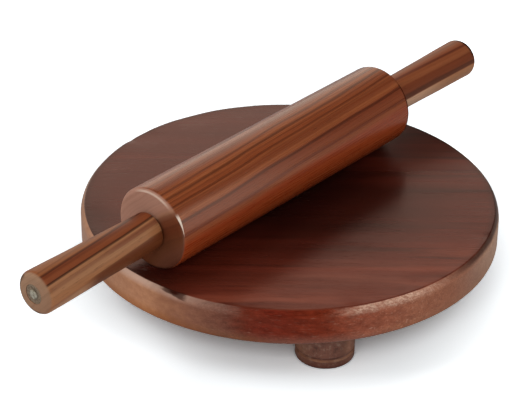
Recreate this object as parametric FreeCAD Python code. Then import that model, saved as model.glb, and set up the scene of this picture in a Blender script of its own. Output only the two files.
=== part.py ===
import FreeCAD, Part

import math
import os

from FreeCAD import Vector

# A chakla, the round wooden rolling board on three turned feet, with its belan, the pin that lies on it.
# Millimetres. +X runs along the belan, +Z is up, and z = 0 is the table.
# The origin is on the table, below the middle of the belan's length and level with the board's axis.

# Board
board_diameter = 240.0
board_thickness = 20.9
rim_round = 7.2              # of the bulge that leads from the arris down to the side
rim_lean = 45.0              # degrees from upright at which the bulge meets the arris
arris_round = 1.0            # hand-eased edge of the rolling face
board_bottom_round = 2.0
board_shift = 8.6            # of the board's axis along X, because the belan lies a little off centre

# Feet
foot_names = ("foot_front", "foot_right", "foot_back")
foot_inset = 9.0             # from the board's rim to the side of the foot
foot_front_angle = -128.1    # degrees round the board's axis, from +X
foot_diameter = 32.6
foot_top_diameter = 31.4     # the foot narrows a little towards the board
foot_height = 23.1
foot_base_round = 1.6
foot_groove_height = 6.2     # middle of the turned groove, above the table
foot_groove_width = 2.2
foot_groove_depth = 1.1

# Countersunk wood screw in each foot
screw_shank_diameter = 4.2
screw_head_diameter = 8.2
screw_tip_length = 5.0
screw_slot_width = 1.1
screw_slot_depth = 1.2
screw_recess = 5.0           # of the head above the foot's underside
wood_over_screw = 8.5        # left between the screw's tip and the rolling face
screw_clearance = 0.15       # round the shank in the foot, and past the tip in the board
head_clearance = 0.6         # round the head in its counterbore
thread_clearance = 0.03      # round the shank in the board

# Belan: barrel, handles and the axle that carries them
barrel_diameter = 47.5
barrel_length = 199.0
barrel_end_round = 2.6
barrel_bore_diameter = 6.4   # clears the axle between the bushes
belan_shift = 6.85           # of the belan's axis along Y, where it lies on the board
rolling_gap = 0.3            # between the barrel and the board
handle_length = 84.0
handle_root_diameter = 21.6
handle_end_diameter = 24.4
handle_root_round = 0.8
handle_end_round = 3.2
axle_diameter = 5.0
axle_head_diameter = 6.4     # peened over the end washer
axle_head_height = 1.2

# Bushes and washers on the axle
bush_diameter = 11.0
bush_length = 16.0
bush_flange_diameter = 17.0
bush_flange_thickness = 1.6
thrust_washer_diameter = 16.0
thrust_washer_thickness = 1.0
end_washer_diameter = 11.0
end_washer_thickness = 1.2
end_washer_depth = 0.5       # of its face below the end of the handle
washer_edge_bevel = 0.25
running_clearance = 0.05     # round the axle, in the bushes and washers
seat_clearance = 0.02        # between pieces that are pressed, glued or screwed together
side_play = 0.15             # between the thrust washer and the barrel

# Heights and places that follow from them
board_radius = board_diameter / 2
foot_circle_radius = board_radius - foot_inset - foot_diameter / 2
board_underside = foot_height
board_top = board_underside + board_thickness
barrel_radius = barrel_diameter / 2
barrel_end = barrel_length / 2
belan_axis = Vector(0, belan_shift, board_top + rolling_gap + barrel_radius)
axle_radius = axle_diameter / 2
thrust_washer_seat = barrel_end + side_play
handle_root = thrust_washer_seat + thrust_washer_thickness
handle_end = handle_root + handle_length
end_washer_face = handle_end - end_washer_depth
end_washer_pocket = end_washer_depth + end_washer_thickness
screw_shank_radius = screw_shank_diameter / 2
screw_head_radius = screw_head_diameter / 2
screw_hole_radius = screw_shank_radius + screw_clearance
screw_bite = board_thickness - wood_over_screw
screw_length = foot_height - screw_recess + screw_bite

upright = Vector(0, 0, 1)
lengthwise = Vector(1, 0, 0)


def turned(axis, start, *steps):
    """A piece as it comes off the lathe. Its outline is given in (along the axis, radius) pairs.
    A step is the next corner, or a pair of them where an arc passes through the first to the second."""
    def place(corner):
        along, radius = corner
        return Vector(radius, 0, along) if axis is upright else Vector(along, 0, radius)

    edges = []
    here = start
    for step in (*steps, start):
        if isinstance(step[0], tuple):
            middle, there = step
            edges.append(Part.Arc(place(here), place(middle), place(there)).toShape())
        else:
            there = step
            edges.append(Part.LineSegment(place(here), place(there)).toShape())
        here = there
    return Part.Face(Part.Wire(edges)).revolve(Vector(), axis, 360)


def round_over(centre, radius, start_angle, end_angle):
    """The arc of a rounded corner, as a step of turned. Angles are in degrees from along the axis."""
    def on_arc(angle):
        turn = math.radians(angle)
        return centre[0] + radius * math.cos(turn), centre[1] + radius * math.sin(turn)

    return on_arc((start_angle + end_angle) / 2), on_arc(end_angle)


def moved(shape, offset, turn=0.0):
    """A copy turned about Z by degrees, then moved."""
    return shape.transformed(FreeCAD.Placement(offset, FreeCAD.Rotation(upright, turn)).toMatrix(), True)


def at_both_ends(shape, name):
    """The piece of the belan's right end, and the same piece turned round for its left end."""
    return {
        f"{name}_right": moved(shape, belan_axis),
        f"{name}_left": moved(shape, belan_axis, 180),
    }


def foot_place(number):
    """The middle of a foot on the table, and its turn about the board's axis."""
    angle = foot_front_angle + number * 360 / len(foot_names)
    reach = math.radians(angle)
    x = board_shift + foot_circle_radius * math.cos(reach)
    y = foot_circle_radius * math.sin(reach)
    return Vector(x, y, 0), angle


def make_board():
    """One round slab: eased arris, bulging rim, softer lower edge, and a pilot hole over each foot."""
    low = board_underside
    lean = math.radians(rim_lean)
    drop = (rim_round - arris_round) * math.cos(lean)
    inset = (rim_round - arris_round) * math.sin(lean)
    rim_centre = (board_top - arris_round - drop, board_radius - rim_round)
    arris_centre = (rim_centre[0] + drop, rim_centre[1] + inset)
    low_centre = (low + board_bottom_round, board_radius - board_bottom_round)
    slab = turned(
        upright,
        (low, 0),
        (low, low_centre[1]),
        round_over(low_centre, board_bottom_round, 180, 90),
        (rim_centre[0], board_radius),
        round_over(rim_centre, rim_round, 90, rim_lean),
        round_over(arris_centre, arris_round, rim_lean, 0),
        (board_top, 0),
    )
    slab = moved(slab, Vector(board_shift, 0, 0))
    pilot_radius = screw_shank_radius + thread_clearance
    pilot_depth = screw_bite + screw_clearance
    for number in range(len(foot_names)):
        middle, _ = foot_place(number)
        slab = slab.cut(Part.makeCylinder(pilot_radius, pilot_depth, middle + upright * low))
    return slab


def make_foot():
    """A short turned foot with a V-groove above its base, drilled and countersunk from below."""
    radius = foot_diameter / 2
    top_radius = foot_top_diameter / 2
    counterbore = screw_head_radius + head_clearance
    seat = screw_head_radius + seat_clearance
    return turned(
        upright,
        (0, counterbore),
        (0, radius - foot_base_round),
        round_over((foot_base_round, radius - foot_base_round), foot_base_round, 180, 90),
        (foot_groove_height - foot_groove_width / 2, radius),
        (foot_groove_height, radius - foot_groove_depth),
        (foot_groove_height + foot_groove_width / 2, radius),
        (foot_height, top_radius),
        (foot_height, screw_hole_radius),
        (screw_recess + seat - screw_hole_radius, screw_hole_radius),
        (screw_recess, seat),
        (screw_recess, counterbore),
    )


def make_screw():
    """A slotted countersunk wood screw, head down, that bites up into the board."""
    head_height = screw_head_radius - screw_shank_radius
    body = turned(
        upright,
        (0, 0),
        (0, screw_head_radius),
        (head_height, screw_shank_radius),
        (screw_length - screw_tip_length, screw_shank_radius),
        (screw_length, 0),
    )
    corner = Vector(-screw_head_diameter, -screw_slot_width / 2, -screw_slot_depth)
    slot = Part.makeBox(2 * screw_head_diameter, screw_slot_width, 2 * screw_slot_depth, corner)
    return moved(body.cut(slot), Vector(0, 0, screw_recess))


def make_barrel():
    """The roller: a straight cylinder with softened ends, bored and stepped for the bushes."""
    bush_seat = bush_diameter / 2 + seat_clearance
    flange_seat = bush_flange_diameter / 2 + seat_clearance
    flange_step = barrel_end - bush_flange_thickness - seat_clearance
    bush_step = barrel_end - bush_length - seat_clearance
    bore = barrel_bore_diameter / 2
    shoulder = (barrel_end - barrel_end_round, barrel_radius - barrel_end_round)
    return turned(
        lengthwise,
        (-bush_step, bore),
        (-bush_step, bush_seat),
        (-flange_step, bush_seat),
        (-flange_step, flange_seat),
        (-barrel_end, flange_seat),
        (-barrel_end, shoulder[1]),
        round_over((-shoulder[0], shoulder[1]), barrel_end_round, 180, 90),
        (shoulder[0], barrel_radius),
        round_over(shoulder, barrel_end_round, 90, 0),
        (barrel_end, flange_seat),
        (flange_step, flange_seat),
        (flange_step, bush_seat),
        (bush_step, bush_seat),
        (bush_step, bore),
    )


def make_bush():
    """A flanged sleeve, flush with the end of the barrel, in which the barrel turns on the axle."""
    inside = axle_radius + running_clearance
    return turned(
        lengthwise,
        (barrel_end - bush_length, inside),
        (barrel_end - bush_length, bush_diameter / 2),
        (barrel_end - bush_flange_thickness, bush_diameter / 2),
        (barrel_end - bush_flange_thickness, bush_flange_diameter / 2),
        (barrel_end, bush_flange_diameter / 2),
        (barrel_end, inside),
    )


def make_handle():
    """A grip that widens from its root to a rounded end, with a pocket there for the end washer."""
    root = handle_root_diameter / 2
    slope = (handle_end_diameter - handle_root_diameter) / 2 / handle_length
    lean = math.degrees(math.atan(slope))

    def corner_centre(along, radius):
        surface = root + slope * (along - handle_root)
        return along, surface - radius / math.cos(math.radians(lean))

    root_centre = corner_centre(handle_root + handle_root_round, handle_root_round)
    end_centre = corner_centre(handle_end - handle_end_round, handle_end_round)
    root_arc = round_over(root_centre, handle_root_round, 180, 90 + lean)
    shoulder = round_over(end_centre, handle_end_round, 0, 90 + lean)[1]
    bore = axle_radius + seat_clearance
    pocket = end_washer_diameter / 2 + seat_clearance
    pocket_floor = handle_end - end_washer_pocket
    return turned(
        lengthwise,
        (handle_root, bore),
        (handle_root, root_centre[1]),
        root_arc,
        shoulder,
        round_over(end_centre, handle_end_round, 90 + lean, 0),
        (handle_end, pocket),
        (pocket_floor, pocket),
        (pocket_floor, bore),
    )


def make_washer(seat, outside, thickness):
    """A flat ring on the axle with both edges of its rim bevelled."""
    inside = axle_radius + running_clearance
    rim = outside / 2 - washer_edge_bevel
    face = seat + thickness
    return turned(
        lengthwise,
        (seat, inside),
        (seat, rim),
        (seat + washer_edge_bevel, outside / 2),
        (face - washer_edge_bevel, outside / 2),
        (face, rim),
        (face, inside),
    )


def make_axle():
    """A straight rod through the whole belan, its two ends peened into low domes over the end washers."""
    head = axle_head_diameter / 2
    dome = (head ** 2 + axle_head_height ** 2) / (2 * axle_head_height)
    half_cap = math.degrees(math.asin(head / dome))
    centre = end_washer_face + axle_head_height - dome
    return turned(
        lengthwise,
        (-centre - dome, 0),
        round_over((-centre, 0), dome, 180, 180 - half_cap),
        (-end_washer_face, axle_radius),
        (end_washer_face, axle_radius),
        (end_washer_face, head),
        round_over((centre, 0), dome, half_cap, 0),
    )


def make_pieces():
    """Every piece of the set in its place, by name."""
    pieces = {"board": make_board()}
    foot = make_foot()
    screw = make_screw()
    screws = []
    for number, name in enumerate(foot_names):
        middle, turn = foot_place(number)
        pieces[name] = moved(foot, middle, turn)
        screws.append(moved(screw, middle, turn))
    pieces["foot_screws"] = Part.makeCompound(screws)
    pieces["barrel"] = moved(make_barrel(), belan_axis)
    pieces["axle"] = moved(make_axle(), belan_axis)
    end_washer_seat = end_washer_face - end_washer_thickness
    pieces.update(at_both_ends(make_bush(), "bush"))
    pieces.update(at_both_ends(make_handle(), "handle"))
    pieces.update(at_both_ends(
        make_washer(thrust_washer_seat, thrust_washer_diameter, thrust_washer_thickness), "thrust_washer"))
    pieces.update(at_both_ends(
        make_washer(end_washer_seat, end_washer_diameter, end_washer_thickness), "end_washer"))
    return pieces


os.makedirs("parts", exist_ok=True)
for piece_name, piece in make_pieces().items():
    piece.exportStep(f"parts/{piece_name}.step")
    print(f"{piece_name}: {len(piece.Solids)} solid(s), {piece.Volume:.1f} mm3, valid {piece.isValid()}")
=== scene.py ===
import math

import bmesh
import bpy
import numpy as np
from mathutils import Matrix, Vector


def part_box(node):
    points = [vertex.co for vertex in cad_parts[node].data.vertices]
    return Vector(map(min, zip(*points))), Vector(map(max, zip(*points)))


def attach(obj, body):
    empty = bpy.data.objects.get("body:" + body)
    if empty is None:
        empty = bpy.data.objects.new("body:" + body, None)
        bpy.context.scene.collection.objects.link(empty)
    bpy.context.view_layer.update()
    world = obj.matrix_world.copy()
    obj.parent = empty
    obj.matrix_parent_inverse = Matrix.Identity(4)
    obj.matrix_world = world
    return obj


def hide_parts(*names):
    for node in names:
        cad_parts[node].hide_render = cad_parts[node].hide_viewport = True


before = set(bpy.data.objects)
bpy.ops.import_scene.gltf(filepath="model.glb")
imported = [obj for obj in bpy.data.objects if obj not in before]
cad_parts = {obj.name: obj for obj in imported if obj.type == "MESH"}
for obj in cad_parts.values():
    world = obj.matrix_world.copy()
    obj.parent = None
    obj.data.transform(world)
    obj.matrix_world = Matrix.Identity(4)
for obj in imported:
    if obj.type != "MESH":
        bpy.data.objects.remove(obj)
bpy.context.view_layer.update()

# Looks of a chakla, a round rolling board on three feet, and of the belan that lies on it.
# Metres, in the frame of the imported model: +X along the belan, +Z up, z = 0 is the table.

mm = 0.001
scene = bpy.context.scene
scene.view_settings.view_transform = "Standard"
print("frame loaded:", len(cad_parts), "pieces")


# shader tools

class Wire:  # one output socket; arithmetic on it adds Math nodes
    def __init__(self, bench, socket):
        self.bench = bench
        self.socket = socket

    def maths(self, operation, first, second=None):
        return self.bench.add("ShaderNodeMath", {"operation": operation}, {0: first, 1: second})

    def __add__(self, other):
        return self.maths("ADD", self, other)

    def __radd__(self, other):
        return self.maths("ADD", other, self)

    def __sub__(self, other):
        return self.maths("SUBTRACT", self, other)

    def __rsub__(self, other):
        return self.maths("SUBTRACT", other, self)

    def __mul__(self, other):
        return self.maths("MULTIPLY", self, other)

    def __rmul__(self, other):
        return self.maths("MULTIPLY", other, self)

    def __truediv__(self, other):
        return self.maths("DIVIDE", self, other)

    def __pow__(self, other):
        return self.maths("POWER", self, other)

    def __abs__(self):
        return self.maths("ABSOLUTE", self)

    def most(self, other):
        return self.maths("MAXIMUM", self, other)

    def angle(self, other):  # direction of a point, from its two sides
        return self.maths("ARCTAN2", self, other)

    def reach(self, other):  # distance of that point
        return (self * self + other * other) ** 0.5

    def eased(self, start, end, least=0.0, most=1.0):  # smooth from least at the start to most at the end
        return self.bench.add("ShaderNodeMapRange", {"interpolation_type": "SMOOTHSTEP"},
                              {"Value": self, "From Min": start, "From Max": end,
                               "To Min": least, "To Max": most})

    def within(self, start, full, fade, end):  # fades in, stays, and fades out
        return self.eased(start, full) * self.eased(end, fade)


class Bench:  # the node tree of one finish
    def __init__(self, tree):
        self.tree = tree
        tree.nodes.clear()

    def add(self, kind, settings=None, inputs=None, out=0):
        node = self.tree.nodes.new(kind)
        for key, value in (settings or {}).items():
            if key == "stops":
                setStops(node.color_ramp, value)
            else:
                setattr(node, key, value)
        for key, value in (inputs or {}).items():
            if isinstance(value, Wire):
                self.tree.links.new(value.socket, node.inputs[key])
            elif value is not None:
                node.inputs[key].default_value = value
        return Wire(self, node.outputs[out]) if node.outputs else None

    def mix(self, amount, first, second, how="MIX"):
        return self.add("ShaderNodeMix", {"data_type": "RGBA", "blend_type": how},
                        {0: amount, 6: first, 7: second}, 2)

    def offset(self, vector, origin):
        return self.add("ShaderNodeVectorMath", {"operation": "SUBTRACT"}, {0: vector, 1: origin})

    def along(self, vector, direction):  # how far a vector goes one way
        return self.add("ShaderNodeVectorMath", {"operation": "DOT_PRODUCT"},
                        {0: vector, 1: direction}, "Value")

    def grained(self, vector, pattern):  # noise: cells along and across the fibres, detail, roughness
        lengthwise, crosswise, detail, rough = pattern
        drawn = self.add("ShaderNodeVectorMath", {"operation": "MULTIPLY"},
                         {0: vector, 1: (lengthwise, crosswise, crosswise)})
        return self.add("ShaderNodeTexNoise", None,
                        {"Vector": drawn, "Scale": 1.0, "Detail": detail, "Roughness": rough})

    def layers(self, value, detail=2.0, rough=0.5):  # noise along one line
        return self.add("ShaderNodeTexNoise", {"noise_dimensions": "1D"},
                        {"W": value, "Scale": 1.0, "Detail": detail, "Roughness": rough})

    def ramp(self, value, stops):
        return self.add("ShaderNodeValToRGB", {"stops": stops}, {"Fac": value})

    def split(self, vector):
        return [self.add("ShaderNodeSeparateXYZ", None, {0: vector}, axis) for axis in range(3)]

    def place(self, kind):  # Object or Normal coordinates
        return self.add("ShaderNodeTexCoord", None, None, kind)

    def coats(self, colour, layers, wires):  # where each lies, its tint or a tone to multiply by, its depth
        for where, paint, depth in layers:
            amount = math.prod((wires[name] for name in where.split()), start=depth)
            paint = wires.get(paint, paint)
            if isinstance(paint, str):
                colour = self.mix(amount, colour, tint(paint))
            else:
                colour = self.mix(amount, colour, paint, "MULTIPLY")
        return colour


def addMasks(wires, masks):  # the wire that each one follows, where it is 0 and 1, or least and most
    for name, (source, *edge) in masks.items():
        wires[name] = wires[source].eased(*edge)


def setStops(ramp, stops):
    while len(ramp.elements) < len(stops):
        ramp.elements.new(1.0)
    for element, (position, colour) in zip(ramp.elements, stops):
        element.position = position
        element.color = colour


def tint(code):  # an sRGB colour code as linear values
    channels = [int(code[k:k + 2], 16) / 255 for k in (0, 2, 4)]
    linear = [c / 12.92 if c < 0.04045 else ((c + 0.055) / 1.055) ** 2.4 for c in channels]
    return (*linear, 1.0)


def tintStops(stops, span=1.0, middle=0.0):  # span: what the ramp covers
    return [(place / span + middle, tint(code)) for place, code in stops]


def newFinish(name):
    material = bpy.data.materials.new(name)
    material.use_nodes = True
    return material, Bench(material.node_tree)


def surface(bench, fixed, wires, bare=None):
    shader = bench.add("ShaderNodeBsdfPrincipled", None, {**fixed, **wires})
    if bare is not None:  # no polish where this is 1
        dull = bench.add("ShaderNodeBsdfPrincipled", None, {"Specular IOR Level": 0.0, **wires})
        shader = bench.add("ShaderNodeMixShader", None, {0: bare, 1: shader, 2: dull})
    bench.add("ShaderNodeOutputMaterial", None, {"Surface": shader})


def bumped(bench, height, depth, strength):
    return bench.add("ShaderNodeBump", None, {"Height": height, "Distance": depth, "Strength": strength})


# wood: growth layers round a heart line, fibres and pores along it

woodGrain = {  # where a piece has no own value; noise has its cells per mm
    "breaks": (0.01, 0.06, 2.0, 0.5),  # gaps in the growth lines
    "breakEdge": (0.22, 0.48), "lineChance": (0.3, 0.9), "lineFall": (0.92, 1.0),
    "lineSwing": 3.7,  # growth layers over which their width swings
    "bandTexture": (3.0, 0.55), "fibreNoise": (0.016, 1.1, 4.0, 0.6),
    "fibreTones": [(0.3, (0.72, 0.68, 0.66, 1)), (0.52, (1, 1, 1, 1)), (0.72, (1.16, 1.13, 1.1, 1))],
    "poreNoise": (0.14, 2.6, 1.0, 0.4), "poreEdge": (0.66, 0.74), "pores": 0.4, "ringZero": 0.0,
    "marks": [],
}


def grainSpace(bench, look):
    local = bench.add("ShaderNodeMapping", {"vector_type": "TEXTURE"},
                      {"Vector": bench.place("Object"), "Location": look["heart"],
                       "Rotation": [math.radians(lean) for lean in look["lean"]],
                       "Scale": (mm, mm, mm)})  # x along the fibres, in millimetres
    _, across, upward = bench.split(local)
    wander = (bench.grained(local, look["wanderNoise"]) - 0.5) * look["wander"]
    return local, across.reach(upward) + wander - look["ringZero"]


def growthLines(bench, look, local, ring):  # each layer darkens slowly, then ends
    drift = bench.layers(ring / (look["ringWidth"] * look["lineSwing"]), 1.0) * look["ringDrift"]
    count = ring / look["ringWidth"] + drift
    saw = count.maths("FRACT", count)
    line = saw.eased(*look["lineRise"]) - saw.eased(*look["lineFall"])
    chance = bench.add("ShaderNodeTexWhiteNoise", {"noise_dimensions": "1D"}, {"W": count - saw}, "Value")
    line = line * chance.eased(*look["lineChance"])
    return line * bench.grained(local, look["breaks"]).eased(*look["breakEdge"])


def woodColour(bench, look):
    look = {**woodGrain, **look}
    local, ring = grainSpace(bench, look)
    bands = bench.layers(ring / look["bandWidth"], *look["bandTexture"])
    colour = bench.ramp(bands, tintStops(look["bandTints"]))
    for place, half, soft, code, depth, *span in look["marks"]:
        mark = abs(ring - place).eased(half + soft, half)
        if span:  # this mark fades in along the fibres
            mark = mark * bench.split(local)[0].eased(*span[0])
        colour = bench.mix(mark * depth, colour, tint(code))
    lines = growthLines(bench, look, local, ring)
    colour = bench.mix(lines * look["lineDepth"], colour, tint(look["lineTint"]))
    fibre = bench.grained(local, look["fibreNoise"])
    colour = bench.mix(look["fibre"], colour, bench.ramp(fibre, look["fibreTones"]), "MULTIPLY")
    pores = bench.grained(local, look["poreNoise"]).eased(*look["poreEdge"])
    colour = bench.mix(pores * look["pores"], colour, tint(look["poreTint"]))
    return {"colour": colour, "local": local, "ring": ring, "fibre": fibre, "pores": pores}


# the pieces' own shapes

crispFrom = math.radians(50)  # sharper edges aren't shaded smooth


def roundOver(centre, radius, start, end, steps):  # a corner; degrees from the axis
    turns = [math.radians(start + (end - start) * k / steps) for k in range(steps + 1)]
    return [(centre[0] + radius * math.cos(t), centre[1] + radius * math.sin(t)) for t in turns]


def between(start, end, steps):  # inner points of a line
    return [(start[0] + (end[0] - start[0]) * k / steps, start[1] + (end[1] - start[1]) * k / steps)
            for k in range(1, steps)]


def uneven(along, turn, depth, seed, shortest, longest, waves, lobes):  # smooth hand-made unevenness
    rng = np.random.default_rng(seed)
    total = np.zeros(np.broadcast(along, turn).shape)
    for _ in range(waves):
        pitch = 2 * math.pi / rng.uniform(shortest, longest)
        total += np.sin(rng.integers(0, lobes + 1) * turn + pitch * along + rng.uniform(0, 2 * math.pi))
    return depth * (0.5 + 0.5 * np.tanh(total / math.sqrt(waves)))


def turnedPiece(name, outline, sides, axis, middle, shape):
    # outline: (along, radius) pairs, from axis to axis, or a closed loop on a hollow piece
    points = np.array(outline)
    poles = points[:, 1] < 1e-7
    turn = np.linspace(0, 2 * math.pi, sides, endpoint=False)
    along = np.repeat(points[:, :1], sides, 1)
    radius = np.repeat(points[:, 1:], sides, 1)
    along, radius = shape(along, radius, np.repeat(turn[None, :], len(points), 0))
    mesh = bmesh.new()
    rings = []
    for k in range(len(points)):
        ring = []
        for j in range(1 if poles[k] else sides):
            a, r = along[k, j], 0.0 if poles[k] else radius[k, j]
            c, s = r * math.cos(turn[j]), r * math.sin(turn[j])
            ring.append(mesh.verts.new(middle + (Vector((a, c, s)) if axis == "X" else Vector((c, s, a)))))
        rings.append(ring)
    pairs = list(zip(rings, rings[1:]))
    if not poles.any():
        pairs.append((rings[-1], rings[0]))
    for first, second in pairs:
        for j in range(sides):
            corners = [first[j % len(first)], first[(j + 1) % len(first)],
                       second[(j + 1) % len(second)], second[j % len(second)]]
            mesh.faces.new(list(dict.fromkeys(corners)))
    bmesh.ops.recalc_face_normals(mesh, faces=mesh.faces)
    data = bpy.data.meshes.new(name)
    mesh.to_mesh(data)
    mesh.free()
    data.polygons.foreach_set("use_smooth", [True] * len(data.polygons))
    data.set_sharp_from_angle(angle=crispFrom)
    piece = bpy.data.objects.new(name, data)
    scene.collection.objects.link(piece)
    return piece


def dress(piece, material, body, slot, *nodes):
    piece.data.materials.append(material)
    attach(piece, body)
    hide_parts(*nodes)


# board

board = {
    "rimRound": 7.2 * mm,  # bulge below the arris
    "rimLean": 45.0,  # where the bulge meets the arris, degrees from upright
    "arrisRound": 1.0 * mm, "bottomRound": 2.0 * mm, "sides": 900,
    "edgeRings": (0.5, 1.2, 2.2, 3.6),  # of the top, inside the arris, mm
    "wear": (0.25 * mm, 4, 0.4, 0.9, 14, 23),  # most depth, seed, shortest and longest wave, waves, lobes
    "wornFrom": 0.9,  # of the radius
    "wornShare": 0.7,  # of the wear, both down and inwards
    "nickSpread": 3.0 * mm,
    "nicks": [(-124.0, 6.0, 0.3), (-171.4, 5.0, 1.0), (-150.0, 3.0, 0.25), (-70.0, 3.5, 0.25),
              (20.0, 4.0, 0.35), (95.0, 3.0, 0.3), (165.0, 5.0, 0.3)],  # degrees, width and depth in mm

    # wood
    "heart": (0.0, -0.30, -0.16), "lean": (0.0, 0.8, -49.4),
    "wanderNoise": (0.004, 0.02, 2.0, 0.5), "wander": 9.0, "bandWidth": 13.0,
    "bandTints": [(0.25, "40150d"), (0.45, "4a1a10"), (0.6, "501c12"), (0.78, "5c2215")],
    "ringWidth": 5.0, "ringDrift": 2.0, "lineRise": (0.3, 0.9), "lineDepth": 0.3,
    "lineTint": "2a0d09", "fibre": 0.4, "poreTint": "1d0806",
    "noise": {
        "mottle": (0.14, 0.5, 5.0, 0.65), "patch": (0.035, 0.05, 2.0, 0.5),
        "scuff": (0.25, 0.9, 4.0, 0.7), "waver": (0.006, 0.06, 3.0, 0.5),
        "streaks": (0.012, 0.1, 4.0, 0.55), "shade": (0.008, 0.13, 3.0, 0.6),
        "blotch": (0.11, 0.36, 6.0, 0.68), "speck": (0.2, 1.1, 3.0, 0.6),
        "fine": (0.7, 1.6, 4.0, 0.7), "gloss": (0.01, 0.22, 3.0, 0.5),
    },
    "front": math.radians(-139.4),

    # polish
    "polishIndex": 1.6, "polishTint": (1.0, 0.29, 0.16, 1.0), "polishWaver": 0.06,
    "rough": {"polish": 0.26, "rim": 0.14, "streaks": 0.16, "mottle": 0.15, "dulled": 0.2},
    "bump": {"fibre": 0.4, "pores": 0.5, "scuff": 0.35, "blotch": 0.8},
    "bumpDepth": (0.06 * mm, 0.5), "belanEndShadeBare": 0.65,

    # places, in mm from the middle and in degrees to the right of the front
    "belanShadeZone": ((15.0, 82.0), (-5.0, 63.0)),  # painted shade of the belan on the top, standing for its shadow and dark reflection: middle and half width, along and across the grain
    "belanShadeWaver": 0.9,
    "nearLean": 0.3,  # of the lighter front, to the right
    "belanEndShadeWay": (0.61, 0.79),  # painted shade, with no polish reflection there, towards the back right beside the belan's far end
    "rimWaver": (12, 8),  # shift of the rim's zones by patches and mottles
    "chip": {"start": -37.0, "length": 9.0, "drop": 2.2, "byScuff": 0.2, "byMottle": 0.6},  # degrees, mm
    "masks": {
        "heartwood": ("fromCore", 1.15, 0.35),
        "nearSide": ("forward", 60, 105),  # the top gets lighter in front
        "streaked": ("streaks", 0.42, 0.7, 0.2, 0.6), "shaded": ("shade", 0.5, 0.72),
        "calm": ("back", 0, 40),  # the grain hardly shows behind the belan
        "edgeLine": ("fromAxis", 113, 117.5),  # a painted dark reflection just inside the arris, but not in front
        "notInFront": ("aside", 40, 70), "broadEdge": ("fromAxis", 96, 114),
        "dullBack": ("ahead", -25, -65), "dullRight": ("rightward", -10, 40),
        "thinBack": ("backRight", -75, 10), "thinRight": ("rightward", 0, 90),
        "polish": ("shiny", 0.68, 0.78), "under": ("upward", -0.6, -0.9),
        "behind": ("aside", 95, 125), "low": ("height", 31, 23),
        "scuffed": ("scuff", 0.35, 0.65, 0.25, 0.85), "scuffedFace": ("upward", -0.1, 0.6),
        "rubbedFace": ("upward", 0.0, 0.6), "veilFace": ("upward", -0.25, 0.4),
        "darkFace": ("upward", 0.2, 0.55), "specks": ("speck", 0.56, 0.8),
        "chipTop": ("chipAbove", 42.3, 42.9), "chipOut": ("fromAxis", 114, 115.5),
        "chipFace": ("upward", 0.97, 0.85),
    },
    "zones": {  # the wire that each one follows, and where it fades in and out
        "front": ("wavy", -34, -14, 105, 150),
        "run": ("wavy", -34, -14, 8, 22),  # the dark polish has run down over the edge
        # the first zone holds scuffs that are partly wear and partly a painted highlight below the arris
        "scratched": ("wavy", 8, 20, 32, 52), "lowLeft": ("wavy", -80, -55, -34, -14),
        "warmLeft": ("wavy", -80, -55, -14, 0), "warmRight": ("wavy", 14, 30, 62, 80),
        # painted highlights high on the rim at the front left, the second one fainter
        "rubbed": ("wavy", -75, -50, -42, -20), "veil": ("wavy", -36, -28, -22, -10),
        # a painted dark reflection high on the rim to the right, then painted shade on the top near the
        # left edge
        "darkArris": ("turn", 36, 58, 110, 150), "darkLeft": ("turn", -110, -75, -44, -26),
        "chip": ("chipAlong", 0.0, 0.3, 0.85, 1.05),
    },
    "sums": {  # what all of the rim gets, and what its zones get on top
        "blotches": (0.24, {"run": 0.45, "scratched": 0.3, "behind": 0.2}),
        "speckled": (0.0, {"front": 0.2, "scratched": 0.35}),
        "fineGrain": (0.1, {"front": 0.8, "behind": 0.4}),
    },
    "tones": {
        "blotch": [(0.3, (0.42, 0.26, 0.22, 1)), (0.5, (1, 1, 1, 1)), (0.68, (1.6, 1.8, 1.9, 1))],
        "fine": [(0.3, (0.7, 0.66, 0.62, 1)), (0.5, (1, 1, 1, 1)), (0.7, (1.3, 1.38, 1.42, 1))],
    },
    "topCoats": [
        # the first coat is painted shade of the belan
        ("heartwood", "160706", 0.85), ("streaked nearSide", "864532", 1.0),
        # the last coat on the line below is a painted dark reflection along the arris
        ("shaded", "160706", 0.6), ("calm", "4a1b11", 0.6), ("edgeLine notInFront", "160706", 0.5),
        # painted shade on the top near its left edge, then painted shade at the back right beside the
        # belan's far end
        ("broadEdge darkLeft", "160706", 0.6), ("belanEndShade", "160706", 0.6)],
    # the rim's colour by its angle from the front: the wood, its wear and the polish run over the edge, and
    # partly painted light, paler at the front left where the light falls
    "rimTints": [
        (-180, "77503a"), (-95, "865f47"), (-52, "a57454"), (-40, "a57454"), (-30, "7d4f39"),
        (-18, "562a1d"), (-6, "5e1b10"), (6, "622010"), (20, "7c3c28"), (33, "864e37"),
        (45, "86523a"), (58, "8d6550"), (74, "ad8569"), (95, "8f6a55"), (180, "77503a")],
    "rimCoats": [
        ("blotches", "blotchTone", 1.0), ("low front", "94796a", 0.3),
        ("low lowLeft", "8f5a34", 0.5), ("low warmLeft", (0.87, 0.71, 0.42, 1), 1.0),
        ("low warmRight", (0.98, 0.86, 0.66, 1), 1.0),
        # the pale scuffs are partly wear and partly a painted highlight, and the milky coat after them is a
        # painted highlight
        ("scuffed scratched scuffedFace", "cfae98", 1.0), ("rubbed rubbedFace", "c9b3a5", 0.55),
        # a faint painted milky sheen, then a painted dark reflection high on the rim's right
        ("veil veilFace", "c9b3a5", 0.14), ("darkArris darkFace", "25100b", 0.9),
        ("specks speckled", "bf9c88", 1.0), ("fineGrain", "fineTone", 1.0)],
    "chipShadeCoats": [("chip chipTop chipOut chipFace", "25100b", 0.8)],  # a splinter is gone from the arris, and painted shade darkens its hollow
    "underCoats": [("", "6f4631", 0.6), ("", "fineTone", 0.6)],
}


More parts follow.
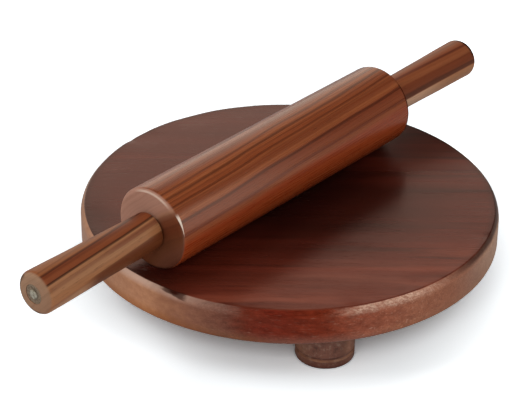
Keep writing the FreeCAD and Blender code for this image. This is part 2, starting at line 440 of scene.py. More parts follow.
def boardWires(bench, look, local, middle):  # noise, places and masks by name
    at = {name: bench.grained(local, pattern) for name, pattern in look["noise"].items()}
    place = bench.offset(bench.place("Object"), middle)
    _, back, height = bench.split(place)
    ways = [Vector((math.cos(t), math.sin(t), 0)) for t in (look["front"], look["front"] + math.pi / 2)]
    ahead, rightward = (bench.along(place, way) / mm for way in ways)
    turn = rightward.angle(ahead) * (180 / math.pi)
    upward = bench.split(bench.place("Normal"))[2]
    mottle = at["mottle"] - 0.5
    # where the painted shade of the belan lies on the top
    (midAlong, halfAlong), (midAcross, halfAcross) = look["belanShadeZone"]
    fromCore = ((rightward - midAlong) / halfAlong).reach((0 - ahead - midAcross) / halfAcross)
    toBack, toRight = look["belanEndShadeWay"]
    byPatch, byMottle = look["rimWaver"]
    chip = look["chip"]
    chipAlong = (turn - chip["start"]) / chip["length"] + (at["scuff"] - 0.5) * chip["byScuff"]
    at.update(ahead=ahead, rightward=rightward, back=back / mm, height=height / mm, turn=turn,
              aside=abs(turn), fromAxis=ahead.reach(rightward),
              upward=upward, shiny=upward + mottle * look["polishWaver"],
              fromCore=fromCore + (at["waver"] - 0.5) * look["belanShadeWaver"],
              forward=ahead + rightward * look["nearLean"],
              backRight=0 - ahead * toBack - rightward * toRight,
              wavy=turn + (at["patch"] - 0.5) * byPatch + mottle * byMottle, chipAlong=chipAlong,
              chipAbove=height / mm + chipAlong * chip["drop"] + mottle * chip["byMottle"])
    addMasks(at, look["masks"])
    for name, (source, *ends) in look["zones"].items():
        at[name] = at[source].within(*ends)
    at["run"] = at["run"] * (1 - at["under"])
    at["dulled"] = at["dullBack"] * at["dullRight"]
    # painted shade at the back right, beside the belan's far end
    at["belanEndShade"] = at["thinBack"] * at["dulled"] * at["thinRight"]
    for name, (everywhere, shares) in look["sums"].items():
        at[name] = sum((at[zone] * share for zone, share in shares.items()), everywhere)
    for name, stops in look["tones"].items():
        at[f"{name}Tone"] = bench.ramp(at[name], stops)
    return at


def boardFinish(look, middle):
    material, bench = newFinish("polishedBoardWood")
    wood = woodColour(bench, look)
    at = boardWires(bench, look, wood["local"], middle)
    polish, matt = at["polish"], 1 - at["polish"]
    top = bench.coats(wood["colour"], look["topCoats"], at)
    rim = bench.ramp(at["wavy"] / 360 + 0.5, tintStops(look["rimTints"], 360, 0.5))
    rim = bench.coats(rim, look["rimCoats"], at)
    colour = bench.coats(bench.mix(polish, rim, top), look["chipShadeCoats"], at)
    colour = bench.mix(at["under"], colour, bench.coats(wood["colour"], look["underCoats"], at))
    rough, bump = look["rough"], look["bump"]
    gloss = rough["polish"] + matt * (1 - at["run"]) * rough["rim"] + (at["gloss"] - 0.5) * rough["streaks"]
    gloss = gloss + (at["mottle"] - 0.5) * matt * rough["mottle"] + at["dulled"] * polish * rough["dulled"]
    relief = wood["fibre"] * bump["fibre"] - wood["pores"] * bump["pores"]
    relief = relief + (at["scuff"] * bump["scuff"] + at["blotch"] * bump["blotch"]) * matt
    surface(bench, {"IOR": look["polishIndex"], "Specular Tint": look["polishTint"]},
            {"Base Color": colour, "Roughness": gloss, "Normal": bumped(bench, relief, *look["bumpDepth"])},
            at["belanEndShade"] * polish * look["belanEndShadeBare"])
    return material


def makeBoard(look):
    low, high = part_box("board")
    middle = Vector(((low.x + high.x) / 2, (low.y + high.y) / 2, 0))
    reach = (high.y - low.y) / 2
    bottom, top = low.z, high.z
    lean = math.radians(look["rimLean"])
    small, bulge, ease = look["bottomRound"], look["rimRound"], look["arrisRound"]
    drop, inset = (bulge - ease) * math.cos(lean), (bulge - ease) * math.sin(lean)
    lowCentre = (bottom + small, reach - small)
    rimCentre = (top - ease - drop, reach - bulge)
    arrisCentre = (rimCentre[0] + drop, rimCentre[1] + inset)
    rings = [arrisCentre[1] - ring * mm for ring in look["edgeRings"]]
    outline = [(bottom, 0)]
    outline += between((bottom, 0), (bottom, lowCentre[1]), steps=12)
    outline += roundOver(lowCentre, small, 180, 90, steps=6)
    outline += between((lowCentre[0], reach), (rimCentre[0], reach), steps=12)
    outline += roundOver(rimCentre, bulge, 90, look["rimLean"], steps=14)
    outline += roundOver(arrisCentre, ease, look["rimLean"], 0, steps=6)[1:]
    outline += [(top, ring) for ring in rings]
    outline += between((top, rings[-1]), (top, 0), steps=24)
    outline += [(top, 0)]

    def shape(along, radius, turn):
        outer = radius > reach * look["wornFrom"]
        upper = np.clip((along - bottom) / (top - bottom), 0, 1) ** 3 * outer
        worn = uneven(along, turn, *look["wear"]) * upper
        fromArris = (along - top) ** 2 + (radius - arrisCentre[1] - ease / 2) ** 2
        near = np.exp(-fromArris / look["nickSpread"] ** 2)
        for degrees, width, depth in look["nicks"]:
            away = np.angle(np.exp(1j * (turn - math.radians(degrees)))) * reach / (width * mm)
            worn += depth * mm * np.exp(-away ** 2) * near
        worn = worn * look["wornShare"]
        return along - worn * (along > bottom + small), radius - worn * outer

    piece = turnedPiece("rolling_board", outline, look["sides"], "Z", middle, shape)
    dress(piece, boardFinish(look, middle), "chakla", "board_wood", "board")
    print("board:", len(piece.data.polygons), "faces")
    return middle


boardMiddle = makeBoard(board)


# feet

foot = {
    "baseRound": 1.6 * mm, "grooveHeight": 6.2 * mm, "grooveWidth": 2.2 * mm,
    "grooveDepth": 1.1 * mm,
    "grooveFloor": 0.2,  # of its width
    "topRadius": 15.7 * mm, "counterbore": 4.7 * mm, "screwSeat": 4.12 * mm, "screwHole": 2.25 * mm,
    "recess": 5.0 * mm, "sides": 144, "toolMarks": (0.12 * mm, 20, 0.9 * mm, 3 * mm, 8, 2),

    # wood
    "hearts": [(0.03, 0.02), (0.03, 0.003), (0.03, -0.014)],  # of each foot, from its axis
    "lean": (0.0, -90.0, 0.0), "wanderNoise": (0.02, 0.06, 2.0, 0.5), "wander": 5.0,
    "bandWidth": 3.4,
    "bandTints": [(0.25, "542f23"), (0.5, "693f30"), (0.75, "7c4f3e")],
    "ringWidth": 2.4, "ringDrift": 1.5, "lineRise": (0.3, 0.9), "lineDepth": 0.5,
    "lineTint": "2a120c", "fibre": 0.35, "pores": 0.6, "poreTint": "1c0b08",

    # finish
    "noise": {"blotch": (0.35, 0.3, 6.0, 0.7), "touch": (0.09, 0.09, 3.0, 0.5)},
    "sideLightWay": (0.651, -0.759, 0.0),  # painted light: paler on the two sides that face this way and its opposite
    "lipHighlightDrop": 1.1,  # of the groove's lower edge, which gets a painted highlight, below its middle, mm
    "masks": {  # heights in mm
        "pale": ("blotch", 0.5, 0.68), "dark": ("blotch", 0.46, 0.32),
        "faded": ("facing", 0.35, 0.9), "lower": ("height", 10, 3.5), "base": ("height", 3.4, 0.8),
        # the lip mask places a painted highlight on the groove's lower edge
        "lip": ("fromLip", 0.8, 0.2), "touched": ("touch", 0.35, 0.65, 0.06, 0.28),
    },
    # the last coat on the line below is painted light on the foot's two sides
    "coats": [("pale", "8f7362", 0.6), ("dark", "3a1d14", 0.6), ("faded", "a06c50", 0.5),
              # the last coat is painted shade where the foot rounds under at its base
              ("lower", "4a1d12", 0.45), ("lip touched", "b98560", 1.0), ("base", "4a1d12", 0.6)],
    "polishIndex": 1.45,
    "rough": (0.5, 0.2),  # and its change along the fibres
    "bump": {"fibre": 0.6, "pores": 1.0, "blotch": 1.0},
    "bumpDepth": (0.12 * mm, 0.6),
}


def footFinish(look):
    material, bench = newFinish("turnedFootWood")
    wood = woodColour(bench, look)
    at = {name: bench.grained(wood["local"], pattern) for name, pattern in look["noise"].items()}
    height = bench.split(bench.place("Object"))[2] / mm
    at.update(height=height, fromLip=abs(height - (look["grooveHeight"] / mm - look["lipHighlightDrop"])),
              facing=abs(bench.along(bench.place("Normal"), look["sideLightWay"])))
    addMasks(at, look["masks"])
    level, change = look["rough"]
    bump = look["bump"]
    relief = wood["fibre"] * bump["fibre"] - wood["pores"] * bump["pores"] + at["blotch"] * bump["blotch"]
    surface(bench, {"IOR": look["polishIndex"]},
            {"Base Color": bench.coats(wood["colour"], look["coats"], at),
             "Roughness": level + (wood["fibre"] - 0.5) * change,
             "Normal": bumped(bench, relief, *look["bumpDepth"])})
    return material


def makeFeet(look):
    most, seed, *waves = look["toolMarks"]
    for order, node in enumerate(("foot_front", "foot_right", "foot_back")):
        low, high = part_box(node)
        middle = Vector(((low.x + high.x) / 2, (low.y + high.y) / 2, 0))
        radius = (high.x - low.x + high.y - low.y) / 4
        height = high.z
        base, depth = look["baseRound"], look["grooveDepth"]
        groove, half = look["grooveHeight"], look["grooveWidth"] / 2
        floor = half * look["grooveFloor"]
        seat, hole, recess = look["screwSeat"], look["screwHole"], look["recess"]
        outline = [(0, look["counterbore"])]
        outline += between((0, look["counterbore"]), (0, radius - base), steps=6)
        outline += roundOver((base, radius - base), base, 180, 90, steps=6)
        outline += between((base, radius), (groove - half, radius), steps=4)
        outline += [(groove - half, radius), (groove - floor, radius - depth),
                    (groove + floor, radius - depth), (groove + half, radius)]
        outline += between((groove + half, radius), (height, look["topRadius"]), steps=24)
        outline += [(height, look["topRadius"]), (height, hole), (recess + seat - hole, hole),
                    (recess, seat), (recess, look["counterbore"])]

        def shape(along, r, turn, order=order):
            side = (r > look["topRadius"] - depth) & (along > base) & (along < height)
            return along, r - uneven(along, turn, most, seed + order, *waves) * side

        piece = turnedPiece(f"turned_{node}", outline, look["sides"], "Z", middle, shape)
        heart = middle + Vector((*look["hearts"][order], 0))
        dress(piece, footFinish(dict(look, heart=tuple(heart))), "chakla", "foot_wood", node)
    print("feet: 3")


makeFeet(foot)


# belan: barrel and handles

barrel = {
    "endRound": 2.6 * mm, "bore": 3.2 * mm, "bushSeat": 5.52 * mm, "bushDepth": 16.02 * mm,
    "flangeSeat": 8.52 * mm, "flangeDepth": 1.62 * mm, "sides": 288,
    "hollows": (0.12 * mm, 7, 0.05, 0.2, 9, 4),

    # wood
    "heart": (0.0, -0.065, -0.062),  # from the middle of the piece
    "lean": (0.0, -1.5, 1.35), "wanderNoise": (0.01, 0.03, 2.0, 0.5), "wander": 5.0,
    "marks": [
        (20.0, 0.4, 1.6, "5a2411", 0.4), (16.6, 0.2, 0.7, "4a1c0d", 0.55),
        (13.3, 0.3, 0.8, "421608", 0.65), (8.2, 0.25, 0.8, "4a1c0d", 0.6),
        (4.1, 0.8, 1.8, "5f2412", 0.45), (-1.1, 0.3, 0.9, "421608", 0.65),
        (-8.0, 0.4, 0.9, "5c1f0e", 0.65), (-14.4, 0.5, 1.2, "5c1f0e", 0.5),
        # the last layer, broad and low on the front of the barrel, is partly the wood's orange and partly
        # painted warm light bounced from the board
        (-18.5, 5.0, 4.0, "973813", 0.6)],  # layers: place, half width, soft edge in mm, tint, depth
    "bandWidth": 9.0,
    "bandTints": [(0.26, "6b2b14"), (0.42, "7c391b"), (0.56, "884523"), (0.75, "985630")],
    "ringWidth": 4.3, "ringDrift": 2.2, "lineRise": (0.62, 0.9), "poreTint": "3a170c",

    # finish
    "rough": 0.28,
    "endTints": [  # by layer, mm; the dark layers nearest the heart are painted shade, low on the ends where the handle and the board shade them
        (-24, "3c1d12"), (-19, "492c21"), (-14, "573628"), (-9, "54301f"), (-3, "552b1a"),
        (2.6, "5f3423"), (5, "754c39"), (6.6, "8f6650"), (8.8, "9c7260"), (14, "9e7665")],
    # the far end's dark edge is painted shade, and the near end's pale edge a painted highlight
    "rays": 0.3, "endTurn": (0.25, 0.7), "bareEnds": 1.0, "farEndShade": 0.85, "edgeHighlight": 0.8,
}

handle = {
    "rootRadius": 10.8 * mm, "endRadius": 12.2 * mm, "rootRound": 0.8 * mm, "endRound": 3.2 * mm,
    "bore": 2.52 * mm, "pocket": 5.52 * mm, "pocketDepth": 1.7 * mm, "sides": 168,
    "hollows": (0.15 * mm, 11, 0.03, 0.12, 9, 3),
    "hollowFrom": 2 * mm,  # below the surface of the root

    # wood
    "heart": (0.0, -0.065, -0.062),
    "leans": {"handle_left": (0.0, -2.9, 2.6), "handle_right": (0.0, 0.6, -0.7)},
    "wanderNoise": (0.007, 0.05, 2.0, 0.5), "wander": 3.0,
    "markSets": {  # as on the barrel, and where some fade in, in mm along the fibres
        "handle_left": [
            (4.9, 2.4, 0.7, "6e2f17", 0.7), (7.6, 0.35, 0.6, "3f170b", 0.75),
            # on this handle the pale layers at -1.4 and -5.0 mm are partly lighter wood and partly a
            # painted highlight, the dark one at -12.2 mm is painted shade low on the side towards the
            # barrel, and the pale one at -12.0 mm a painted reflection of the floor towards the end
            (2.1, 0.35, 0.6, "341006", 0.85), (-1.4, 2.2, 1.8, "9a7352", 0.35),
            (-5.0, 2.0, 1.6, "a5754e", 0.5), (-12.2, 4.6, 0.7, "582a14", 0.8, (-14, 0)),
            (-12.0, 2.5, 2.0, "b58d6a", 0.5, (0, -16)), (12.0, 3.0, 1.5, "7a4526", 0.5),
            (-0.9, 1.1, 0.8, "74402b", 0.6, (0, 20))],
        "handle_right": [
            (0.0, 14.0, 2.0, "7b381c", 0.6), (6.0, 0.4, 0.9, "571c12", 0.5),
            (-3.4, 3.2, 1.0, "692d13", 0.5), (-6.2, 0.9, 0.8, "3f1808", 0.6),
            # on this handle the two pale layers low on the front are a painted reflection of the floor, the
            # second one only towards the barrel
            (-11.1, 2.9, 0.9, "a8744c", 0.7), (-11.1, 2.9, 0.9, "d6ab8c", 0.65, (20, -30))],
    },
    "bandWidth": 6.5,
    "bandTints": [(0.26, "692f17"), (0.42, "7c4020"), (0.58, "905530"), (0.78, "a26c44")],
    "ringWidth": 3.8, "ringDrift": 2.0, "lineRise": (0.55, 0.9), "poreTint": "2c1008",

    # finish
    "rough": 0.4,
    "endTints": [(-12, "805d48"), (8, "917159")],
    "rays": 0.5, "endTurn": (0.35, 0.8), "bareEnds": 0.5, "bare": 0.35,
    # a painted dark reflection on the far arris of each handle
    "arrisDarkReflections": {"handle_left": 0.0, "handle_right": 0.9},
    "edgeDarkLine": 0.75,
}

pin = {  # barrel and handles share these; a facing is how squarely a face looks along the belan
    "lineFall": (0.93, 1.0), "lineDepth": 0.4, "lineTint": "4a1b0c", "fibre": 0.5,
    "polishIndex": 1.58, "polishTint": (1.0, 0.84, 0.68, 1.0), "roughFibres": 0.16,
    "bump": {"fibre": 0.5, "pores": 0.6}, "bumpDepth": (0.05 * mm, 0.5), "endDepth": 0.9,
    "endSpan": 50,  # mm of layers that the end tints cover
    "rayWidth": (1.7, 0.8),  # width of a ray in mm, and its waver
    "rayTexture": (3.0, 0.6),
    "rayTones": [(0.3, (0.7, 0.66, 0.62, 1)), (0.5, (1, 1, 1, 1)), (0.7, (1.2, 1.2, 1.2, 1))],
    "crescent": (-65, 0.33, 0.2, 0.65),  # a painted highlight on the near edge: side it points to, facing, half width, and how fast it narrows
    "topHighlightDepth": 0.4,
    "bare": 0.0, "endPlace": 0.0, "arrisDarkReflection": 0.0, "edgeDarkLine": 0.0, "farEndShade": 0.0,
    "edgeHighlight": 0.0, "highlightTint": "e8d8c6",
    "sideEdges": {  # degrees above -Y, and the edge of the side
        "stainSide": (85, 0.35, 0.65), "outlineSide": (210, 0.0, 0.35), "farSide": (-20, 0.1, 0.5),
        "crescentSide": (25, 0.5, 0.7), "paleSide": (85, 0.8, 0.97),
    },
    "masks": {
        "farEnd": ("far", 0.6, 0.9), "roughEnd": ("facing", 0.2, 0.5, 0.0, 0.2),
        "bareNear": ("near", 0.5, 0.8), "bareFar": ("far", 0.05, 0.3),
        "stainPlace": ("toEnd", 4.6, 2.6),  # painted dark reflection on the far arris, mm from the end
        "stainFace": ("facing", 0.95, 0.8),
        "outlineFace": ("facing", 0.55, 0.72),  # dark edge of the near end, fading in two steps
        "firstFade": ("facing", 0.85, 0.93, 0.0, 0.45),
        "lastFade": ("facing", 0.965, 0.992, 0.0, 0.55),
        "farFace": ("far", 0.02, 0.15),  # painted shade on the edge of the far end
        "crescent": ("toCrescent", -0.02, 0.08),  # a painted highlight, on the near edge
        "crescentStart": ("point", -0.3, -0.15), "crescentFace": ("near", 0.03, 0.15),
        "paleStart": ("facing", 0.7, 0.85),  # painted highlight on the upper edge of both ends
        "paleEnd": ("facing", 0.99, 0.96),
    },
}


def pinWires(bench, look):
    normal = bench.place("Normal")
    far = bench.along(normal, (1, 0, 0))  # 1 on the far end, -1 on the near one
    near, facing = 0 - far, abs(far)
    level = (1.0001 - facing * facing) ** 0.5  # never quite 0

    def towards(degrees):  # 1 on the side this far above -Y, looking along the belan
        way = math.radians(degrees)
        return bench.along(normal, (0, -math.cos(way), math.sin(way))) / level

    side, middle, half, narrows = look["crescent"]
    point = towards(side)
    at = {"far": far, "near": near, "facing": facing, "point": point,
          "toEnd": look["endPlace"] - bench.split(bench.place("Object"))[0] / mm,
          "toCrescent": half - point * narrows - abs(near - middle)}
    addMasks(at, look["masks"])
    for name, (degrees, *edge) in look["sideEdges"].items():
        at[name] = towards(degrees).eased(*edge)
    return at


def pinFinish(name, look):
    material, bench = newFinish(name)
    look = {**pin, **look}
    wood = woodColour(bench, look)
    at = pinWires(bench, look)

    # end grain
    ends = at["near"].eased(*look["endTurn"]).most(at["farEnd"])
    span = look["endSpan"]
    endColour = bench.ramp(wood["ring"] / span + 0.5, tintStops(look["endTints"], span, 0.5))
    width, waver = look["rayWidth"]
    rays = bench.layers(wood["ring"] / width + wood["fibre"] * waver, *look["rayTexture"])
    endColour = bench.mix(look["rays"], endColour, bench.ramp(rays, look["rayTones"]), "MULTIPLY")
    colour = bench.mix(ends * look["endDepth"], wood["colour"], endColour)

    # edges of the ends: dark in places, partly painted shade and a painted dark reflection, and painted
    # highlights in others
    # painted dark reflection on a handle's far arris, joined below by the near end's dark line and painted
    # shade on the barrel's far edge
    darkEdges = at["stainPlace"] * at["stainFace"] * at["stainSide"] * look["arrisDarkReflection"]
    outline = at["outlineFace"] * at["outlineSide"] * (1 - at["firstFade"] - at["lastFade"])
    darkEdges = darkEdges.most(outline * look["edgeDarkLine"]).most(at["farFace"] * at["farSide"] * look["farEndShade"])
    colour = bench.mix(darkEdges, colour, tint(look["poreTint"]))
    # painted highlights on the ends' edges
    crescent = at["crescent"] * at["crescentStart"] * at["crescentSide"] * at["crescentFace"]
    pale = at["paleSide"] * at["paleStart"] * at["paleEnd"] * look["topHighlightDepth"]
    colour = bench.mix(crescent.most(pale) * look["edgeHighlight"], colour, tint(look["highlightTint"]))

    gloss = look["rough"] + at["roughEnd"] + (wood["fibre"] - 0.5) * look["roughFibres"]
    relief = wood["fibre"] * look["bump"]["fibre"] - wood["pores"] * look["bump"]["pores"]
    bare = at["bareNear"].most(at["bareFar"]) * look["bareEnds"]
    surface(bench, {"IOR": look["polishIndex"], "Specular Tint": look["polishTint"]},
            {"Base Color": colour, "Roughness": gloss, "Normal": bumped(bench, relief, *look["bumpDepth"])},
            bare.most(darkEdges).most(look["bare"]))
    return material


def makeBarrel(look):
    low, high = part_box("barrel")
    middle = (low + high) / 2
    radius = (high.z - low.z) / 2
    end = (high.x - low.x) / 2
    soft = look["endRound"]
    flange, bush = end - look["flangeDepth"], end - look["bushDepth"]
    half = [(bush, look["bore"]), (bush, look["bushSeat"]), (flange, look["bushSeat"]),
            (flange, look["flangeSeat"]), (end, look["flangeSeat"])]
    half += between((end, look["flangeSeat"]), (end, radius - soft), steps=10)
    half += roundOver((end - soft, radius - soft), soft, 0, 90, steps=10)
    outline = half + between((end - soft, radius), (soft - end, radius), steps=90)
    outline += [(-a, r) for a, r in reversed(half)]
    outline += between((-bush, look["bore"]), (bush, look["bore"]), steps=4)

    def shape(along, r, turn):
        side = np.clip((r - radius + soft) / soft, 0, 1)
        return along, r - uneven(along, turn, *look["hollows"]) * side

    piece = turnedPiece("belan_roller", outline, look["sides"], "X", middle, shape)
    heart = Vector(look["heart"])
    grain = dict(look, heart=tuple(middle + heart), ringZero=heart.length / mm)
    dress(piece, pinFinish("polishedRollerWood", grain), "belan_barrel", "pin_wood", "barrel")
    print("barrel:", len(piece.data.polygons), "faces")
    return middle


def makeHandles(look, axis):
    most, seed, *waves = look["hollows"]
    for node, outward in (("handle_left", -1), ("handle_right", 1)):
        low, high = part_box(node)
        root, end = sorted((abs(low.x - axis.x), abs(high.x - axis.x)))
        slope = (look["endRadius"] - look["rootRadius"]) / (end - root)
        lean = math.atan(slope)
        side = 90 + math.degrees(lean)

        def softCorner(along, radius):
            return along, look["rootRadius"] + slope * (along - root) - radius / math.cos(lean)

        rootRound, endRound = look["rootRound"], look["endRound"]
        outline = [(root, look["bore"])]
        outline += roundOver(softCorner(root + rootRound, rootRound), rootRound, 180, side, steps=5)
        shoulder = roundOver(softCorner(end - endRound, endRound), endRound, side, 0, steps=14)
        outline += between(outline[-1], shoulder[0], steps=48) + shoulder
        outline += between(shoulder[-1], (end, look["pocket"]), steps=6)
        outline += [(end, look["pocket"]), (end - look["pocketDepth"], look["pocket"]),
                    (end - look["pocketDepth"], look["bore"])]
        outline = [(outward * a, r) for a, r in outline]

        def shape(along, r, turn, outward=outward):
            outer = np.clip((r - look["rootRadius"] + look["hollowFrom"]) / look["hollowFrom"], 0, 1)
            return along, r - uneven(along, turn, most, seed + outward, *waves) * outer

        piece = turnedPiece(f"belan_{node}", outline, look["sides"], "X", axis, shape)
        heart = Vector(look["heart"])
        halfway = Vector((outward * (root + end) / 2, 0, 0))
        grain = dict(look, heart=tuple(axis + halfway + heart), ringZero=heart.length / mm,
                     lean=look["leans"][node], marks=look["markSets"][node],
                     arrisDarkReflection=look["arrisDarkReflections"][node], endPlace=(axis.x + end) / mm)
        dress(piece, pinFinish(f"polished_{node}", grain), "belan_grip", "pin_wood", node)
    print("handles: 2")


belanAxis = makeBarrel(barrel)
makeHandles(handle, belanAxis)


# metal and plastic on the axle

metal = {
    "washer": {"tint": "94816c", "spots": "6e5c4b", "rough": 0.6, "shine": 0.6},
    "axle": {"tint": "cfc9b8", "spots": "8f8672", "rough": 0.42, "shine": 0.9},
    "screw": {"tint": "9a958a", "spots": "94816c", "rough": 0.35, "shine": 1.0},
    "patches": (900, 900, 4.0, 0.6),  # noise, cells per metre
    "scratches": (9000, 2500, 2.0, 0.5), "spotEdge": (0.4, 0.7), "dulled": (0.6, 0.8, 0.0, 0.4),
    "roughPatches": 0.25, "bumpDepth": (0.03 * mm, 0.3),
    "headShadeEdge": (0.5, 0.3, 0.8),  # raggedness and softness of the painted shade at the head's edge in mm, depth

    "axleRadius": 2.5 * mm, "headHeight": 1.2 * mm, "headDome": 0.9 * mm, "headBevel": 0.1 * mm,
    "headSteps": 9, "axleSides": 64, "dents": (0.16 * mm, 31, 1.2 * mm, 3 * mm, 8, 5),
    "dentShare": 0.6,  # of a dent, inwards
    "washerPlay": 0.05 * mm, "washerSoft": 0.25 * mm,
    "washerRise": 0.35 * mm,  # the hammering has pressed the head into it
    "washerDish": (0.1 * mm, 41, 2 * mm, 5 * mm, 6, 3), "washerSides": 72,
}

bush = {
    "tint": "d8cfb6", "spots": "b9ae92", "spotDepth": 0.3,
    "speck": (600, 600, 3.0, 0.5),  # noise, cells per metre
    "rough": (0.45, 0.1), "bumpDepth": (0.02 * mm, 0.3),
}


def metalFinish(name, look, kind, shadedHeadRim=None):
    material, bench = newFinish(name)
    steel, place = look[kind], bench.place("Object")
    patches = bench.grained(place, look["patches"])
    colour = bench.mix(patches.eased(*look["spotEdge"]), tint(steel["tint"]), tint(steel["spots"]))
    if shadedHeadRim:  # painted shade on a round end, outside this radius
        axis, radius, code = shadedHeadRim
        ragged, soft, depth = look["headShadeEdge"]
        _, across, upward = bench.split(bench.offset(place, axis))
        outside = across.reach(upward) / mm + (patches - 0.5) * ragged
        colour = bench.mix(outside.eased(radius - soft, radius + soft) * depth, colour, tint(code))
    scratches = bench.grained(place, look["scratches"])
    surface(bench, {}, {
        "Base Color": colour, "Metallic": steel["shine"] - patches.eased(*look["dulled"]),
        "Roughness": steel["rough"] + (patches - 0.5) * look["roughPatches"],
        "Normal": bumped(bench, scratches, *look["bumpDepth"])})
    return material


def plasticFinish(name, look):
    material, bench = newFinish(name)
    speck = bench.grained(bench.place("Object"), look["speck"])
    level, change = look["rough"]
    colour = bench.mix(speck * look["spotDepth"], tint(look["tint"]), tint(look["spots"]))
    surface(bench, {}, {"Base Color": colour, "Roughness": level + (speck - 0.5) * change,
                        "Normal": bumped(bench, speck, *look["bumpDepth"])})
    return material


def dressSmallParts(look):  # their CAD shapes stay
    washer = metalFinish("dullWasherSteel", look, "washer")
    screw = metalFinish("platedScrewSteel", look, "screw")
    moulded = plasticFinish("mouldedBush", bush)
    finishes = {"foot_screws": screw, "bush_left": moulded, "bush_right": moulded,
                "thrust_washer_left": washer, "thrust_washer_right": washer}
    for node, material in finishes.items():
        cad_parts[node].data.materials.clear()
        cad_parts[node].data.materials.append(material)
    print("metal and plastic:", len(finishes), "nodes")
    return washer


def makeAxle(look, axis):  # a bar with both ends hammered over
    low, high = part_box("axle")
    end, head = (high.x - low.x) / 2, (high.z - low.z) / 2
    seat, dome, bevel = end - look["headHeight"], look["headDome"], look["headBevel"]
    turns = [math.radians(90 * k / look["headSteps"]) for k in range(look["headSteps"] + 1)]
    half = [(end - dome + dome * math.cos(t), head * math.sin(t)) for t in turns]
    half += [(seat + bevel, head), (seat, head - bevel), (seat, look["axleRadius"])]
    outline = half + between(half[-1], (-half[-1][0], half[-1][1]), steps=12)
    outline += [(-a, r) for a, r in reversed(half)]

    def shape(along, r, turn):
        outer = (np.abs(along) > seat + bevel * 1.5) & (r > 0)
        dents = uneven(r, turn + np.sign(along), *look["dents"]) * outer
        return along - np.sign(along) * dents, r - dents * look["dentShare"]

    piece = turnedPiece("hammered_axle", outline, look["axleSides"], "X", axis, shape)
    # painted shade round the edge of the hammered head
    rim = (axis, look["axleRadius"] / mm, look["washer"]["spots"])
    dress(piece, metalFinish("brightAxleSteel", look, "axle", rim), "belan_grip", "axle_steel", "axle")


def makeEndWashers(look, axis, material):
    soft = look["washerSoft"]
    hole = look["axleRadius"] + look["washerPlay"]
    for node, outward in (("end_washer_left", -1), ("end_washer_right", 1)):
        low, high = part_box(node)
        inner, outer = sorted((abs(low.x - axis.x), abs(high.x - axis.x)))
        outer += look["washerRise"]
        radius = (high.z - low.z) / 2
        outline = [(inner, hole)] + between((inner, hole), (inner, radius - soft), steps=3)
        outline += roundOver((inner + soft, radius - soft), soft, 180, 90, steps=4)
        outline += roundOver((outer - soft, radius - soft), soft, 90, 0, steps=4)
        outline += between((outer, radius - soft), (outer, hole + soft), steps=6)
        outline += roundOver((outer - soft, hole + soft), soft, 0, -90, steps=3)
        outline = [(outward * a, r) for a, r in outline]

        def shape(along, r, turn, inner=inner, outward=outward):
            face = (np.abs(along) > inner + soft) & (r < radius - soft / 2)
            return along - outward * uneven(r, turn, *look["washerDish"]) * face, r

        piece = turnedPiece(f"stamped_{node}", outline, look["washerSides"], "X", axis, shape)
        dress(piece, material, "belan_grip", "washer_steel", node)
    print("axle and end washers: 3 pieces")


washerSteel = dressSmallParts(metal)
makeAxle(metal, belanAxis)
makeEndWashers(metal, belanAxis, washerSteel)


# stage: floor, light and camera

photo = {
    "lens": 132.43,  # on a 36 mm sensor
    "azimuth": -49.41, "elevation": 29.99, "roll": 0.49, "aim": Vector((0.0460, 0.0576, 0.0030)),
    "distance": 1.1607, "clipStart": 0.05,
}

stage = {
    "floorSize": 8.0,
    "floorTint": 0.8,  # as the light meets it
    "floorSeen": (1.38, 1.44, 1.47),  # as the camera sees it
    "floorFade": (0.05, 0.14),  # it gets paler to the right of the board's middle, a painted lightening of the shadow there
    "floorLift": 1.3,  # by this much
    "floorMirrored": 0.45,  # as reflections see it
    "sky": (0.1, 0.9, 0.68, 0.32),  # from light from the sides to light from above
    "sweepTop": (0.28, 0.44, 1.0, 0.12),  # where the white sweep ends in reflections, under a dark ceiling
    "sweepRise": 0.3,  # it is higher behind the object
    "sweepTint": (1.0, 0.93, 0.81, 1.0),
    "glow": 0.4,  # more light low down behind the object
    "glowHeight": (0.4, 0.15),
    "glowBehind": (0.6, 0.95),
    "darkSide": (0.05, 0.5, 1.0, 0.15),  # the sweep fades out towards the right
    "lamps": {
        "softboxLeft": {"from": (-1.0, 0.05, 0.9), "size": (0.9, 0.7), "power": 6.0},
        "softboxRight": {"from": (0.8, -0.5, 1.0), "size": (0.8, 0.8), "power": 2.5},
        "softboxFront": {"from": (-0.1, -1.1, 0.8), "size": (1.0, 0.5), "power": 5.5},
        "softboxBack": {"from": (-0.2, 0.4, 1.4), "size": (1.4, 0.6), "power": 2.0},
        "card": {"from": (0.285, -0.09, 0.135), "size": (0.15, 0.26), "power": 0.16},
    },
}


def viewAxes(look):  # right, up and back of the photo's camera, level
    a, e = math.radians(look["azimuth"]), math.radians(look["elevation"])
    right = Vector((math.cos(a), math.sin(a), 0))
    back = Vector((math.sin(a) * math.cos(e), -math.cos(a) * math.cos(e), math.sin(e)))
    return right, back.cross(right), back


def makeCamera(look):
    right, up, back = viewAxes(look)
    roll = math.radians(look["roll"])
    across = right * math.cos(roll) + up * math.sin(roll)
    upward = up * math.cos(roll) - right * math.sin(roll)
    data = bpy.data.cameras.new("photoCamera")
    data.lens = look["lens"]
    data.clip_start = look["clipStart"]
    camera = bpy.data.objects.new("photoCamera", data)
    scene.collection.objects.link(camera)
    camera.matrix_world = Matrix.Translation(look["aim"] + back * look["distance"]) @ Matrix(
        (across, upward, back)).transposed().to_4x4()
    scene.camera = camera


def rayKinds(bench):  # seen by the camera, and in a reflection or through glass
    camera, glossy, through = [bench.add("ShaderNodeLightPath", None, None, f"Is {kind} Ray")
                               for kind in ("Camera", "Glossy", "Transmission")]
    return camera, glossy.most(through)


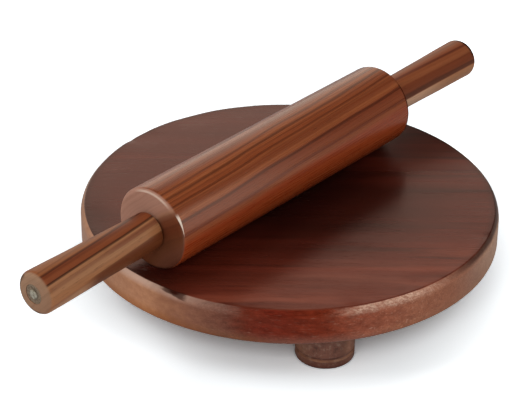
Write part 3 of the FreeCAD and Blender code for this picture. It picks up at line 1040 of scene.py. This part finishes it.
def makeFloor(look):
    half = look["floorSize"] / 2
    corners = [(-half, -half, 0), (half, -half, 0), (half, half, 0), (-half, half, 0)]
    data = bpy.data.meshes.new("paleFloor")
    data.from_pydata(corners, [], [(0, 1, 2, 3)])
    floor = bpy.data.objects.new("paleFloor", data)
    scene.collection.objects.link(floor)
    material, bench = newFinish("paleFloor")
    camera, mirrored = rayKinds(bench)
    plain, mirror = look["floorTint"], look["floorMirrored"]
    colour = bench.mix(mirrored, (plain, plain, plain, 1), (mirror, mirror, mirror, 1))
    right, _, _ = viewAxes(photo)
    rightward = bench.along(bench.offset(bench.place("Object"), boardMiddle), right)
    # a paler floor to the right of the board, which paints its shadow lighter there
    paler = [shade * look["floorLift"] for shade in look["floorSeen"]]
    seen = bench.mix(rightward.eased(*look["floorFade"]), (*look["floorSeen"], 1), (*paler, 1))
    matt = bench.add("ShaderNodeBsdfDiffuse", None, {"Color": bench.mix(camera, colour, seen)})
    clear = bench.add("ShaderNodeBsdfTransparent")
    below = bench.add("ShaderNodeNewGeometry", None, None, "Backfacing")
    shader = bench.add("ShaderNodeMixShader", None, {0: below, 1: matt, 2: clear})  # open from below
    bench.add("ShaderNodeOutputMaterial", None, {"Surface": shader})
    data.materials.append(material)


def makeLight(look):
    right, _, _ = viewAxes(photo)
    away = Vector((-right.y, right.x, 0))
    world = bpy.data.worlds.new("studio")
    world.use_nodes = True
    scene.world = world
    bench = Bench(world.node_tree)
    direction = bench.place("Generated")
    height, behind = bench.split(direction)[2], bench.along(direction, away)
    sky = height.eased(*look["sky"])
    camera, mirrored = rayKinds(bench)
    glow = height.eased(*look["glowHeight"]) * behind.eased(*look["glowBehind"]) * look["glow"]
    sweep = (height - behind * look["sweepRise"]).eased(*look["sweepTop"]) * (1 + glow)
    sweep = sweep * bench.along(direction, right).eased(*look["darkSide"])
    strength = sky + mirrored * (sweep - sky)
    strength = strength + camera * (1 - strength)
    colour = bench.mix(mirrored, (1, 1, 1, 1), look["sweepTint"])
    light = bench.add("ShaderNodeBackground", None, {"Color": colour, "Strength": strength})
    bench.add("ShaderNodeOutputWorld", None, {"Surface": light})
    for name, lamp in look["lamps"].items():
        x, y, z = lamp["from"]
        data = bpy.data.lights.new(name, "AREA")
        data.shape = "RECTANGLE"
        data.size, data.size_y = lamp["size"]
        data.energy = lamp["power"]
        light = bpy.data.objects.new(name, data)
        light.location = boardMiddle + right * x + away * y + Vector((0, 0, z))
        light.rotation_euler = (boardMiddle - light.location).to_track_quat("-Z", "Y").to_euler()
        light.visible_glossy = name == "card"  # only reflections show the card, and no other lamp
        light.visible_diffuse = name != "card"
        scene.collection.objects.link(light)


makeCamera(photo)
makeFloor(stage)
makeLight(stage)
print("stage ready")

bpy.context.view_layer.update()
